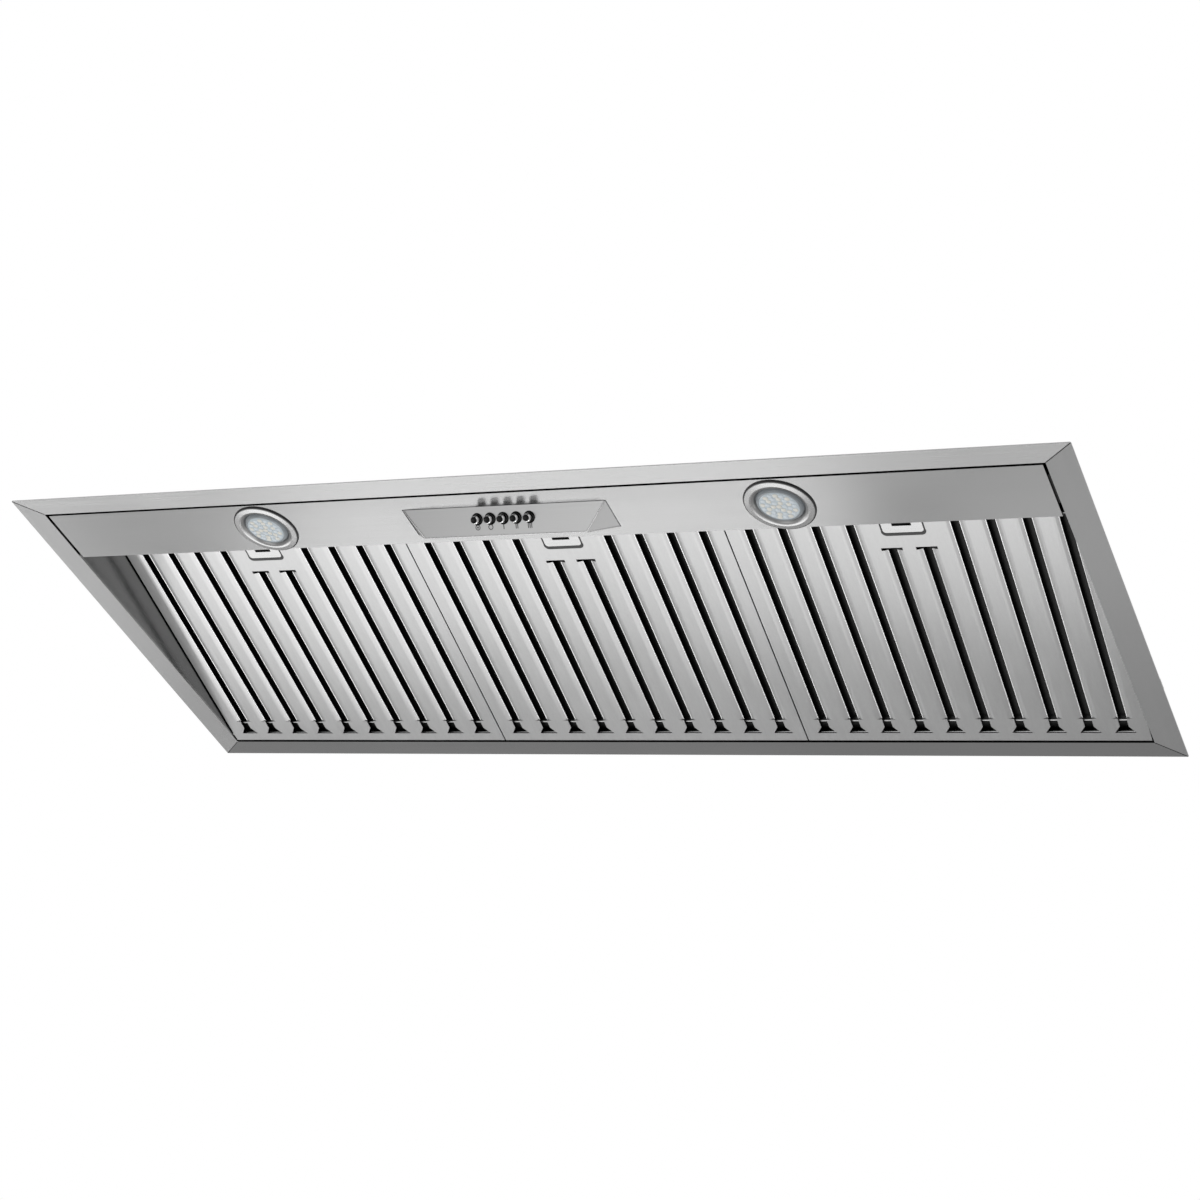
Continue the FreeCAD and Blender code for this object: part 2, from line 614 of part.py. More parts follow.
feet = []
for sx in (-1, 1):
    inside = scroll_half + sheet
    for y in (in_last.y + foot_half + 1, in_first.y - foot_half - 1):
        drop = foot_share * plenum_height
        stand = box(inside, inside + sheet, y - foot_half, y + foot_half, exit_z - drop, exit_z)
        tab = box(inside + sheet, inside + foot_out, y - foot_half, y + foot_half, exit_z - sheet, exit_z)
        foot = stand.fuse(tab)
        feet.append(foot if sx > 0 else mirror_x(foot))
save(Part.makeCompound(feet), "blower_feet")

# Electrics under the top plate and along the shield
cap_at = Vector(-0.4 * hanger_x, duct_y + cap_r, exit_z - cap_r - 2)
capacitor = cyl(cap_r, cap_length, cap_at, x_axis)
strap_x = cap_at.x + cap_length / 2
strap = box(strap_x - strap_half, strap_x + strap_half, cap_at.y - cap_r - 2, cap_at.y + cap_r + 2,
            cap_at.z - cap_r - 2, exit_z)
strap = strap.cut(cyl(cap_r + run_clear, cap_length, cap_at, x_axis))
save(capacitor, "capacitor")
save(strap, "capacitor_strap")
jbox = box(gland_x - jbox_half, gland_x + jbox_half, duct_y - jbox_half_y, duct_y + jbox_half_y,
           exit_z - jbox_depth, exit_z)
jbox = jbox.cut(box(gland_x - jbox_half + jbox_wall, gland_x + jbox_half - jbox_wall,
                    duct_y - jbox_half_y + jbox_wall, duct_y + jbox_half_y - jbox_wall,
                    exit_z - jbox_depth - 1, exit_z - jbox_wall))
jbox = jbox.cut(cyl(gland_hole_r, jbox_depth / 2, Vector(gland_x, duct_y, exit_z - 10), Vector(0, 0, 1)))
save(jbox, "junction_box")
lid = box(gland_x - jbox_half, gland_x + jbox_half, duct_y - jbox_half_y, duct_y + jbox_half_y,
          exit_z - jbox_depth - sheet, exit_z - jbox_depth)
save(lid, "junction_cover")
gland = cyl(gland_hole_r - clear, 14, Vector(gland_x, duct_y, exit_z - 4), Vector(0, 0, 1))
nut_points = [Vector(gland_x + 13 * math.cos(math.radians(a)), duct_y + 13 * math.sin(math.radians(a)),
                     plenum_height) for a in range(0, 360, 60)]
gland = gland.fuse(prism(nut_points, Vector(0, 0, 6)))
gland = gland.cut(cyl(4.5, 40, Vector(gland_x, duct_y, exit_z - 15), Vector(0, 0, 1)))
save(gland, "cable_gland")
driver_x = hanger_x / 4
driver = box(driver_x, driver_x + driver_length, duct_y - driver_height, duct_y + driver_height,
             exit_z - driver_height, exit_z)
save(driver, "led_driver")
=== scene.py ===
import math
import bmesh
import bpy
from mathutils import Matrix, Vector


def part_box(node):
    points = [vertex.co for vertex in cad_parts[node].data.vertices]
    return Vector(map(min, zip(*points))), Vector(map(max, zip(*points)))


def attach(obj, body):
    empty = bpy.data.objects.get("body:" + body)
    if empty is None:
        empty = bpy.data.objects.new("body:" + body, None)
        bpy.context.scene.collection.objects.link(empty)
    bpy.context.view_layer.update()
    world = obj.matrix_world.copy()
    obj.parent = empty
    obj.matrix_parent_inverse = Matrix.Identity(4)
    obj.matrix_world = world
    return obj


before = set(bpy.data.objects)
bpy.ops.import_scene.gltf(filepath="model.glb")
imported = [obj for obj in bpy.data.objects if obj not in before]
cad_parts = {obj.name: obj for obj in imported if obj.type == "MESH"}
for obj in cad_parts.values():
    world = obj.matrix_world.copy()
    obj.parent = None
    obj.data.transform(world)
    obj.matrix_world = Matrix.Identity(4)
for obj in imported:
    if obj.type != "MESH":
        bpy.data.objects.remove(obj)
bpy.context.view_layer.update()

# Row frame: origin at the hanger holes, so a point of the drawing moves by these amounts
drawing = {"ductY": 0.350, "topZ": 0.200}


def place(x, y, z):
    return Vector((x, y - drawing["ductY"], z - drawing["topZ"]))


underside = place(0.0, 0.0, 0.0).z

# Filters lie flat in mm (v across, u from the rear edge, n up) and are tilted into place
filterPlan = {"labels": ("Left", "Middle", "Right"), "pitch": 372.7, "rearY": 458.0, "rearZ": 0.5, "rise": 0.169,
              "length": 324.54, "slots": 10, "slotPitch": 35.796, "throat": 4.6, "lipStart": 31.6,
              "frontBorder": 17.8, "latchBorder": 58.3}
filterLean = math.atan(filterPlan["rise"])
filterUp = Vector((0.0, math.sin(filterLean), math.cos(filterLean)))


def onFilter(index, v, u, n):
    rise, run = math.sin(filterLean), math.cos(filterLean)
    return place(((index - 1) * filterPlan["pitch"] + v) / 1000,
                 (filterPlan["rearY"] - u * run + n * rise) / 1000,
                 (filterPlan["rearZ"] + u * rise + n * run) / 1000)


# Node helpers: an input takes either a plain value or a link from another node's output
def feed(tree, socket, source):
    if isinstance(source, bpy.types.NodeSocket):
        tree.links.new(source, socket)
    else:
        socket.default_value = source


# Indices of a mix node's two inputs and its result
mixSockets = {"FLOAT": (2, 3, 0), "RGBA": (6, 7, 2)}


def blend(tree, kind, share, first, second):
    mix = tree.nodes.new("ShaderNodeMix")
    mix.data_type = kind
    firstIn, secondIn, result = mixSockets[kind]
    feed(tree, mix.inputs[0], share)
    feed(tree, mix.inputs[firstIn], first)
    feed(tree, mix.inputs[secondIn], second)
    return mix.outputs[result]


def calculate(tree, operation, first, second):
    node = tree.nodes.new("ShaderNodeMath")
    node.operation = operation
    feed(tree, node.inputs[0], first)
    feed(tree, node.inputs[1], second)
    return node.outputs["Value"]


def remap(tree, value, limits, smooth=False):
    node = tree.nodes.new("ShaderNodeMapRange")
    if smooth:
        node.interpolation_type = "SMOOTHSTEP"
    feed(tree, node.inputs["Value"], value)
    for label, limit in limits.items():
        feed(tree, node.inputs[label], limit)
    return node.outputs["Result"]


def noise(tree, vector, scale, detail):
    node = tree.nodes.new("ShaderNodeTexNoise")
    feed(tree, node.inputs["Vector"], vector)
    feed(tree, node.inputs["Scale"], scale)
    feed(tree, node.inputs["Detail"], detail)
    return node.outputs["Fac"]


def objectCoords(tree):
    return tree.nodes.new("ShaderNodeTexCoord").outputs["Object"]


def addGroup(tree, group, values):
    node = tree.nodes.new("ShaderNodeGroup")
    node.node_tree = group
    for label, value in values.items():
        node.inputs[label].default_value = value
    return node.outputs


def grey(value):
    return (value, value, value, 1.0)


# Shared shader groups
number, colour, direction = "NodeSocketFloat", "NodeSocketColor", "NodeSocketVector"
surfaceOutputs = [("Color", colour), ("Roughness", number), ("Height", number)]


def newGroup(name, inputs, outputs):
    group = bpy.data.node_groups.new(name, "ShaderNodeTree")
    for label, kind, value in inputs:
        group.interface.new_socket(label, in_out="INPUT", socket_type=kind).default_value = value
    for label, kind in outputs:
        group.interface.new_socket(label, in_out="OUTPUT", socket_type=kind)
    return group, group.nodes.new("NodeGroupInput").outputs, group.nodes.new("NodeGroupOutput").inputs


# Colour and roughness follow the tint, height follows the grain
def endSurface(group, given, result, tint, grain, roughFrom):
    limits = {"From Min": roughFrom[0], "From Max": roughFrom[1],
              "To Min": given["RoughLow"], "To Max": given["RoughHigh"]}
    feed(group, result["Color"], blend(group, "RGBA", tint, given["Dark"], given["Light"]))
    feed(group, result["Roughness"], remap(group, tint, limits))
    feed(group, result["Height"], calculate(group, "MULTIPLY", grain, given["Depth"]))
    return group


# Noises as (scale, detail); the wide streaks still show from a distance
brush = {"fine": (1.0, 3.0), "wide": (0.14, 4.0), "cloud": (7.0, 2.0), "cloudShare": 0.3, "roughFrom": (0.3, 0.7)}


def brushGroup():
    group, given, result = newGroup(
        "brushedGrain",
        [("Stretch", direction, (4.0, 900.0, 900.0)), ("Depth", number, 0.1), ("Dark", colour, grey(0.4)),
         ("Light", colour, grey(0.7)), ("RoughLow", number, 0.25), ("RoughHigh", number, 0.45),
         ("Streak", number, 0.2)], surfaceOutputs)
    coords = objectCoords(group)
    mapping = group.nodes.new("ShaderNodeMapping")
    feed(group, mapping.inputs["Vector"], coords)
    feed(group, mapping.inputs["Scale"], given["Stretch"])
    stretched = mapping.outputs["Vector"]
    fine = noise(group, stretched, *brush["fine"])
    streaks = blend(group, "FLOAT", given["Streak"], fine, noise(group, stretched, *brush["wide"]))
    tint = blend(group, "FLOAT", brush["cloudShare"], streaks, noise(group, coords, *brush["cloud"]))
    return endSurface(group, given, result, tint, fine, brush["roughFrom"])


speck = {"detail": 3.0, "roughFrom": (0.0, 1.0)}


def speckGroup():
    group, given, result = newGroup(
        "mouldedSpeck",
        [("Scale", number, 900.0), ("Dark", colour, grey(0.02)), ("Light", colour, grey(0.05)),
         ("RoughLow", number, 0.4), ("RoughHigh", number, 0.6), ("Depth", number, 0.1)], surfaceOutputs)
    grain = noise(group, objectCoords(group), given["Scale"], speck["detail"])
    return endSurface(group, given, result, grain, grain, speck["roughFrom"])


# Masks for painting shade by position: what lies above a level, the part inside a wall, and the part outside it
wallEdge = 0.0002


def foldGroup():
    group, given, result = newGroup(
        "foldShade",
        [("Up", direction, (0.0, 0.0, 1.0)), ("Level", number, 0.0), ("Start", number, 0.0005),
         ("Full", number, 0.002), ("Inward", direction, (0.0, 0.0, 0.0)), ("Wall", number, -1.0)],
        [("Mask", number), ("Outer", number)])
    coords = objectCoords(group)
    masks = []
    for way, level, start, full in (("Up", "Level", given["Start"], given["Full"]),
                                    ("Inward", "Wall", 0.0, wallEdge)):
        along = group.nodes.new("ShaderNodeVectorMath")
        along.operation = "DOT_PRODUCT"
        feed(group, along.inputs[0], coords)
        feed(group, along.inputs[1], given[way])
        above = calculate(group, "SUBTRACT", along.outputs["Value"], given[level])
        masks.append(remap(group, above, {"From Min": start, "From Max": full}, True))
    inside = calculate(group, "MULTIPLY", *masks)
    feed(group, result["Mask"], inside)
    feed(group, result["Outer"], calculate(group, "SUBTRACT", masks[0], inside))
    return group


brushedGrain = brushGroup()
mouldedSpeck = speckGroup()
foldShade = foldGroup()

# Finishes
reliefDistance = 0.0002


def finishFrom(name, group, values, metallic, bump=0.2, fold=None):
    mat = bpy.data.materials.new(name)
    mat.use_nodes = True
    tree = mat.node_tree
    shader = tree.nodes["Principled BSDF"]
    shader.inputs["Metallic"].default_value = metallic
    effect = addGroup(tree, group, values)
    tone = effect["Color"]
    if fold:
        tints = {"deep": "Mask", "outer": "Outer"}
        shade = addGroup(tree, foldShade, {label: fold[label] for label in fold if label not in tints})
        for label, mask in tints.items():
            if label in fold:
                tone = blend(tree, "RGBA", shade[mask], tone, grey(fold[label]))
    feed(tree, shader.inputs["Base Color"], tone)
    feed(tree, shader.inputs["Roughness"], effect["Roughness"])
    relief = tree.nodes.new("ShaderNodeBump")
    relief.inputs["Strength"].default_value = bump
    relief.inputs["Distance"].default_value = reliefDistance
    feed(tree, relief.inputs["Height"], effect["Height"])
    feed(tree, shader.inputs["Normal"], relief.outputs["Normal"])
    return mat


def steel(name, dark, light, stretch, roughLow, roughHigh, depth=0.12, streak=0.2, fold=None):
    values = {"Stretch": stretch, "Depth": depth, "Dark": grey(dark), "Light": grey(light),
              "RoughLow": roughLow, "RoughHigh": roughHigh, "Streak": streak}
    return finishFrom(name, brushedGrain, values, 1.0, fold=fold)


def moulded(name, dark, light, bump=0.2, **more):
    return finishFrom(name, mouldedSpeck, {"Dark": dark, "Light": light, **more}, 0.0, bump)


alongX = (5.0, 1400.0, 1400.0)
alongY = (1400.0, 5.0, 1400.0)
turnedRing = (600.0, 600.0, 600.0)

# Painted shade above a level: folds, returns and recesses of the latch, panel and housing go near-black, the
# flanges' inner legs go darker than the brushed outer faces, and the outer legs take one plain tone
latchFold = {"Up": filterUp, "Level": filterUp.dot(onFilter(1, 0.0, 0.0, 0.0)), "Start": 0.0003, "Full": 0.0008,
             "deep": 0.03}
backTop = dict(latchFold, Start=0.0087, Full=0.0089, deep=0.44)  # the filter back's upper side in plain steel; below it the sheet is painted shade
frameTop = dict(latchFold, Start=0.002, Full=0.005, deep=0.42)
panelFold = {"Level": underside, "Start": 0.0007, "Full": 0.0016, "deep": 0.03}
controlFold = dict(panelFold, Start=0.0009, Full=0.0012)
leftLeg = {"Level": underside, "Start": 0.0012, "Full": 0.003, "Inward": (1.0, 0.0, 0.0), "Wall": -0.5607,
           "deep": 0.24, "outer": 0.48}
rightLeg = dict(leftLeg, Inward=(-1.0, 0.0, 0.0))
frontLeg = dict(leftLeg, Inward=(0.0, 1.0, 0.0), Wall=place(0.0, 0.0241, 0.0).y, deep=0.03)
rearLeg = dict(leftLeg, Inward=(0.0, -1.0, 0.0), Wall=-place(0.0, 0.4619, 0.0).y, deep=0.05)

finishes = {
    # Painted light and shade: the four flange sides are one steel, toned lightest at the front, then left and
    # right, and darkest at the rear
    "flangeFront": steel("flangeFrontSteel", 0.47, 0.52, alongX, 0.20, 0.30, fold=frontLeg),
    "flangeRear": steel("flangeRearSteel", 0.25, 0.30, alongX, 0.12, 0.18, fold=rearLeg),
    "flangeLeft": steel("flangeLeftSteel", 0.42, 0.47, alongY, 0.18, 0.28, fold=leftLeg),
    "flangeRight": steel("flangeRightSteel", 0.34, 0.38, alongY, 0.18, 0.26, fold=rightLeg),
    "panel": steel("panelSteel", 0.385, 0.435, alongX, 0.16, 0.24, fold=panelFold),
    "control": steel("controlSteel", 0.40, 0.48, alongX, 0.26, 0.38, fold=controlFold),
    "bend": steel("bendHighlightSteel", 0.52, 0.62, turnedRing, 0.22, 0.32),
    "baffle": steel("baffleSteel", 0.29, 0.43, alongY, 0.27, 0.34, streak=0.5),
    "latch": steel("latchSteel", 0.33, 0.40, alongX, 0.20, 0.30, fold=latchFold),
    # Painted shade: the filter back and frame are near-black, with plain steel only on their upper side
    "inner": steel("filterBackShadeSteel", 0.012, 0.03, alongY, 0.30, 0.45, fold=backTop),
    "frame": steel("filterFrameShadeSteel", 0.06, 0.10, alongY, 0.30, 0.45, fold=frameTop),
    # Painted shade: latch bolts and panel fixings are near-black steel where they show in shadowed gaps
    "bolt": steel("boltShadeSteel", 0.03, 0.06, alongX, 0.4, 0.6),
    "body": steel("bodySheet", 0.40, 0.58, alongX, 0.28, 0.44, streak=0.5),
    "strip": steel("coverStrip", 0.52, 0.62, alongX, 0.20, 0.32),
    "trim": steel("trimSatin", 0.34, 0.42, turnedRing, 0.22, 0.32),
    "rod": steel("groundRod", 0.54, 0.66, alongX, 0.2, 0.3),
    "hem": steel("hemHighlightSteel", 0.72, 0.84, alongY, 0.22, 0.32),
    "bar": steel("crossBarSteel", 0.34, 0.46, alongX, 0.25, 0.40),
    "chrome": steel("buttonChrome", 0.62, 0.76, turnedRing, 0.05, 0.12, depth=0.03),
    "darkReflectChrome": steel("buttonDarkReflectChrome", 0.012, 0.024, turnedRing, 0.10, 0.20, depth=0.03),
    "throat": steel("lampThroatShadeSteel", 0.24, 0.34, turnedRing, 0.25, 0.40),
    "lamp": steel("lampCasting", 0.36, 0.46, turnedRing, 0.4, 0.55),
    "plastic": moulded("darkMoulding", grey(0.015), grey(0.04)),
    # Near-black: painted shadow round the lamp trims and latches, and the mitre sealant's own colour
    "shadowSealant": moulded("trimShadowGasket", grey(0.008), grey(0.02)),
    "blower": moulded("blowerPaint", grey(0.16), grey(0.22)),
    "motor": moulded("motorPaint", grey(0.02), grey(0.04)),
    "board": moulded("ledBoard", (0.72, 0.78, 0.82, 1), (0.86, 0.90, 0.92, 1)),
    "rim": moulded("lensRim", (0.17, 0.19, 0.20, 1), (0.25, 0.27, 0.29, 1), RoughLow=0.08, RoughHigh=0.18),
    "lens": moulded("lensGlass", (0.32, 0.37, 0.40, 1), (0.43, 0.48, 0.51, 1), bump=0.1, Scale=160.0,
                    RoughLow=0.10, RoughHigh=0.22),
    "ledWarm": moulded("ledWarm", (0.56, 0.55, 0.50, 1), (0.65, 0.64, 0.60, 1), RoughLow=0.15, RoughHigh=0.3),
    "ledCool": moulded("ledCool", (0.46, 0.51, 0.55, 1), (0.56, 0.61, 0.65, 1), RoughLow=0.15, RoughHigh=0.3),
    "ink": moulded("iconInk", grey(0.03), grey(0.06)),
}

# Long brushing on the baffles spreads their reflections across the grain
baffleGrain = {"X": 1.0, "Y": 0.0, "Z": 0.0}
baffleTree = finishes["baffle"].node_tree
baffleShader = baffleTree.nodes["Principled BSDF"]
baffleShader.inputs["Anisotropic"].default_value = 0.9
across = baffleTree.nodes.new("ShaderNodeCombineXYZ")
for label, value in baffleGrain.items():
    across.inputs[label].default_value = value
feed(baffleTree, baffleShader.inputs["Tangent"], across.outputs["Vector"])

# The lens glows a little
lensGlow = {"IOR": 1.46, "Emission Color": (0.90, 0.96, 1.0, 1.0), "Emission Strength": 0.04}
for label, value in lensGlow.items():
    finishes["lens"].node_tree.nodes["Principled BSDF"].inputs[label].default_value = value

# The first start that fits a node's name gives its finish; all others are body sheet
nodeFinish = {
    "flange_front": "flangeFront", "flange_rear": "flangeRear", "flange_left": "flangeLeft",
    "flange_right": "flangeRight", "front_panel": "panel", "control_housing": "control",
    "filter_face": "baffle", "latch_case": "latch", "filter_back": "inner", "filter_frame": "frame",
    "latch_bolt": "bolt", "panel_fixings": "bolt", "button": "chrome", "light_trim": "trim",
    "light_lens": "lens", "lamp_body": "lamp", "led_board": "board", "pivot_rod": "rod", "damper_pin": "rod",
    "motor_shaft": "rod", "scroll": "blower", "impeller": "blower", "motor": "motor", "capacitor_strap": "body",
    "capacitor": "plastic", "switch_block": "plastic", "led_driver": "plastic", "cable_gland": "plastic",
}


def finishFor(node):
    for start, name in nodeFinish.items():
        if node.startswith(start):
            return finishes[name]
    return finishes["body"]


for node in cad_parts:
    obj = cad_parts[node]
    obj.data.materials.clear()
    obj.data.materials.append(finishFor(node))
print("finishes set on", len(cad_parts), "nodes")

# New pieces; edges sharper than this angle stay sharp
sharpAngle = math.radians(30.0)


def finishPiece(bm, name, mat, body):
    mesh = bpy.data.meshes.new(name)
    bmesh.ops.recalc_face_normals(bm, faces=bm.faces[:])
    bm.to_mesh(mesh)
    bm.free()
    for face in mesh.polygons:
        face.use_smooth = True
    mesh.set_sharp_from_angle(angle=sharpAngle)
    obj = bpy.data.objects.new(name, mesh)
    bpy.context.scene.collection.objects.link(obj)
    mesh.materials.append(finishes[mat])
    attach(obj, body)


def vertsOf(geom):
    return [part for part in geom if isinstance(part, bmesh.types.BMVert)]


# Sets one copy of the whole mesh at each matrix
def repeat(bm, places):
    master = bm.verts[:] + bm.edges[:] + bm.faces[:]
    masterVerts = bm.verts[:]
    for matrix in places[1:]:
        copy = bmesh.ops.duplicate(bm, geom=master)["geom"]
        bmesh.ops.transform(bm, matrix=matrix, verts=vertsOf(copy))
    bmesh.ops.transform(bm, matrix=places[0], verts=masterVerts)
    return bm


# A profile of (radius, height) in mm is turned about local Z; one that ends off the axis is a closed ring's
def turnedPiece(points, steps, places, name, mat, body):
    bm = bmesh.new()
    verts = [bm.verts.new((r / 1000, 0, z / 1000)) for r, z in points]
    edges = [bm.edges.new(pair) for pair in zip(verts, verts[1:])]
    if points[-1][0] > 0:
        edges.append(bm.edges.new((verts[-1], verts[0])))
    bmesh.ops.spin(bm, geom=verts + edges, cent=(0, 0, 0), axis=(0, 0, 1), angle=math.tau, steps=steps,
                   use_merge=True)
    bmesh.ops.remove_doubles(bm, verts=bm.verts[:], dist=1e-7)
    finishPiece(repeat(bm, places), name, mat, body)


# A bar's profile; its shoulders are (radius, height) shares of the radius
def barProfile(radius, length, shoulders):
    low = [(0.0, 0.0)] + [(r * radius, z * radius) for r, z in shoulders]
    return low + [(r, length - z) for r, z in reversed(low)]


def standing(at, normal):
    return Matrix.Translation(at) @ Vector(normal).to_track_quat("Z", "Y").to_matrix().to_4x4()


# Angles of a full turn in equal steps
def around(count, first=0.0):
    return [first + math.tau * i / count for i in range(count)]


# Lights: a near-black ring round the trim's edge as painted shadow of the gap under it, a steel throat toned
# darker than the trim as painted shade in the recess, glassy rim round the lens, lenslets on its face.
# Rings of lenslets as (radius in mm, count, first angle in degrees)
light = {"x": 0.292, "y": 0.0655, "steps": 96, "lensFace": -0.0022, "lensletSteps": 16,
         "trimShadowGasket": [(33.9, 0.35), (35.4, 0.38), (35.6, 0.1), (35.6, -0.4), (35.3, -0.9), (34.75, -1.2),
                        (34.45, -1.15), (35.06, -0.3)],
         "lampThroat": [(23.8, 1.9), (23.8, 1.2), (24.6, 0.2), (25.8, -1.35), (27.2, -1.95), (27.4, -1.75),
                        (26.3, -1.1), (25.15, 1.6), (25.1, 1.9)],
         "lensSeal": [(19.9, -1.78), (20.1, -2.05), (20.8, -2.05), (21.8, -1.5), (23.2, 0.3), (23.6, 1.3),
                      (22.1, 1.3), (22.1, -0.66)],
         "lenslet": [(2.75, 0.1), (2.6, -0.25), (2.0, -0.6), (1.1, -0.85), (0.0, -0.95)],
         "rings": ((0.0, 1, 0), (5.7, 6, 0), (11.3, 12, 15), (15.9, 17, 0))}
for side, sx in (("Left", -1), ("Right", 1)):
    at = Matrix.Translation(place(sx * light["x"], light["y"], 0.0))
    for part, mat, slotName in (("trimShadowGasket", "shadowSealant", "dark_plastic"), ("lampThroat", "throat", "lamp_metal"),
                                ("lensSeal", "rim", "dark_plastic")):
        turnedPiece(light[part], light["steps"], [at], part + side, mat, "hood_body")
    spots = []
    for radius, count, first in light["rings"]:
        for turn in around(count, math.radians(first)):
            spot = (radius / 1000 * math.cos(turn), radius / 1000 * math.sin(turn), light["lensFace"])
            spots.append(at @ Matrix.Translation(spot))
    for label, share in (("Warm", spots[0::2]), ("Cool", spots[1::2])):
        turnedPiece(light["lenslet"], light["lensletSteps"], share, "lenslets" + label + side, "led" + label,
                    "hood_body")
print("lights dressed")

# Buttons: bezel on the housing, domed end and a groove band on each cap, all in near-black chrome as a painted
# dark reflection
control = {"front": place(0.0, 0.0473, 0.0004), "ridge": place(0.0, 0.069, -0.020), "along": 0.42,
           "pitch": 0.0148, "count": 5, "bezelSteps": 48, "capSteps": 40,
           "bezel": [(4.7, 0.0), (4.7, 0.9), (5.1, 1.3), (5.8, 1.15), (6.3, 0.5), (6.4, 0.0)],
           "dome": [(3.4, 6.9), (3.3, 7.25), (2.7, 7.5), (1.5, 7.2), (0.0, 7.05)],
           "band": [(4.25, 2.3), (4.42, 2.45), (4.42, 3.0), (4.25, 3.15)]}
faceFall = control["ridge"] - control["front"]
faceDown = faceFall.normalized()
faceOut = Vector((0.0, faceDown.z, -faceDown.y))
faceTurn = Matrix((Vector((1, 0, 0)), faceOut.cross(Vector((1, 0, 0))), faceOut)).transposed().to_4x4()


def onFace(x, along):
    return Matrix.Translation(control["front"] + faceFall * along + Vector((x, 0, 0))) @ faceTurn


buttonX = [(i - (control["count"] - 1) / 2) * control["pitch"] for i in range(control["count"])]
seats = [onFace(x, control["along"]) for x in buttonX]
turnedPiece(control["bezel"], control["bezelSteps"], seats, "buttonBezels", "darkReflectChrome", "hood_body")
for i, seat in enumerate(seats, 1):
    for part, name in (("dome", "buttonDome"), ("band", "buttonBand")):
        turnedPiece(control[part], control["capSteps"], [seat], name + str(i), "darkReflectChrome", "button_" + str(i))

# Rounded bends along the housing's ridge and hips, in a lighter steel than the housing as a painted highlight
bend = {"half": 0.115, "rear": 0.0864, "ridgeHalf": 0.092, "radius": 0.75, "inset": 0.0005, "steps": 16,
        "shoulders": ((0.7, 0.3), (1.0, 1.0))}
ridgeEnds = [control["ridge"] + Vector((sx * bend["ridgeHalf"], 0, 0)) for sx in (-1, 1)]
bends = [(ridgeEnds[0], ridgeEnds[1])]
for sx, end in zip((-1, 1), ridgeEnds):
    for y in (control["front"].y, place(0.0, bend["rear"], 0.0).y):
        bends.append((Vector((sx * bend["half"], y, control["front"].z)), end))
core = Vector((0.0, control["ridge"].y, underside))
for i, (start, end) in enumerate(bends, 1):
    inward = (core - (start + end) / 2).normalized() * bend["inset"]
    profile = barProfile(bend["radius"], (end - start).length * 1000, bend["shoulders"])
    turnedPiece(profile, bend["steps"], [standing(start + inward, end - start)], "housingBend" + str(i), "bend",
                "hood_body")

# Printed signs under the buttons: a ring with a dot, a plain ring, then one to three strokes
signs = {"along": 0.70, "ring": [(2.0, 0.0), (2.0, 0.12), (2.8, 0.12), (2.8, 0.0)], "ringSteps": 32,
         "dot": [(1.0, 0.0), (1.0, 0.12), (0.0, 0.14)], "dotSteps": 20,
         "stroke": (0.001, 0.0052, 0.00012), "strokePitch": 0.0019, "strokeRound": 0.0002}
ringSeats = [onFace(x, signs["along"]) for x in buttonX[:2]]
turnedPiece(signs["ring"], signs["ringSteps"], ringSeats, "signRings", "ink", "hood_body")
turnedPiece(signs["dot"], signs["dotSteps"], ringSeats[:1], "signDot", "ink", "hood_body")
bm = bmesh.new()
bmesh.ops.create_cube(bm, size=1.0)
bmesh.ops.scale(bm, vec=signs["stroke"], verts=bm.verts[:])
upright = [edge for edge in bm.edges if abs(edge.verts[0].co.z - edge.verts[1].co.z) > 1e-6]
bmesh.ops.bevel(bm, geom=upright, offset=signs["strokeRound"], affect="EDGES", segments=3, profile=0.5,
                material=-1)
strokes = []
for count, x in enumerate(buttonX[2:], 1):
    for i in range(count):
        strokes.append(onFace(x + (i - (count - 1) / 2) * signs["strokePitch"], signs["along"]))
finishPiece(repeat(bm, strokes), "signStrokes", "ink", "hood_body")
print("controls dressed")

# Outer fixings: pop rivets along the plenum's folds and socket screws in the collar's flange.
# Rows of rivets as (first, last, count)
shell = {"outerX": 0.5613, "sideLeg": 0.0638, "topHalf": 0.4200, "topFront": 0.23765, "topZ": 0.200,
         "outerFront": 0.0235, "frontLeg": 0.018, "outerRear": 0.4625, "edge": 0.011,
         "topRow": (-0.39, 0.39, 7), "topSideRow": (0.280, 0.420, 3), "frontRow": (-0.51, 0.51, 7),
         "rearRow": (-0.48, 0.48, 7), "sideRow": (0.115, 0.440, 6),
         "rivet": [(3.4, -0.2), (3.3, 0.4), (2.7, 1.0), (1.7, 1.3), (1.25, 1.3), (1.0, 0.8), (0.0, 0.75)],
         "rivetSteps": 20,
         "screw": [(3.5, -0.1), (3.5, 1.2), (3.1, 1.9), (2.2, 2.3), (1.5, 2.3), (1.4, 1.2), (0.0, 1.0)],
         "screwSteps": 24, "collarRing": 0.082, "collarTop": 0.2012, "collarScrews": 6,
         "fixingEdge": 0.0064, "fixingHeight": 0.46}
skyward = Vector((0, 0, 1))
rearward = Vector((0, 1, 0))
frontUp = Vector((0, shell["topFront"] - shell["outerFront"], shell["topZ"] - shell["frontLeg"])).normalized()
frontOut = Vector((0, -frontUp.z, frontUp.y))


# The sloping side's way up and its outward normal
def sideWays(sx):
    up = Vector((sx * (shell["topHalf"] - shell["outerX"]), 0, shell["topZ"] - shell["sideLeg"])).normalized()
    return up, Vector((sx * up.z, 0, -sx * up.x))


def spread(low, high, count):
    return [low + (high - low) * i / (count - 1) for i in range(count)]


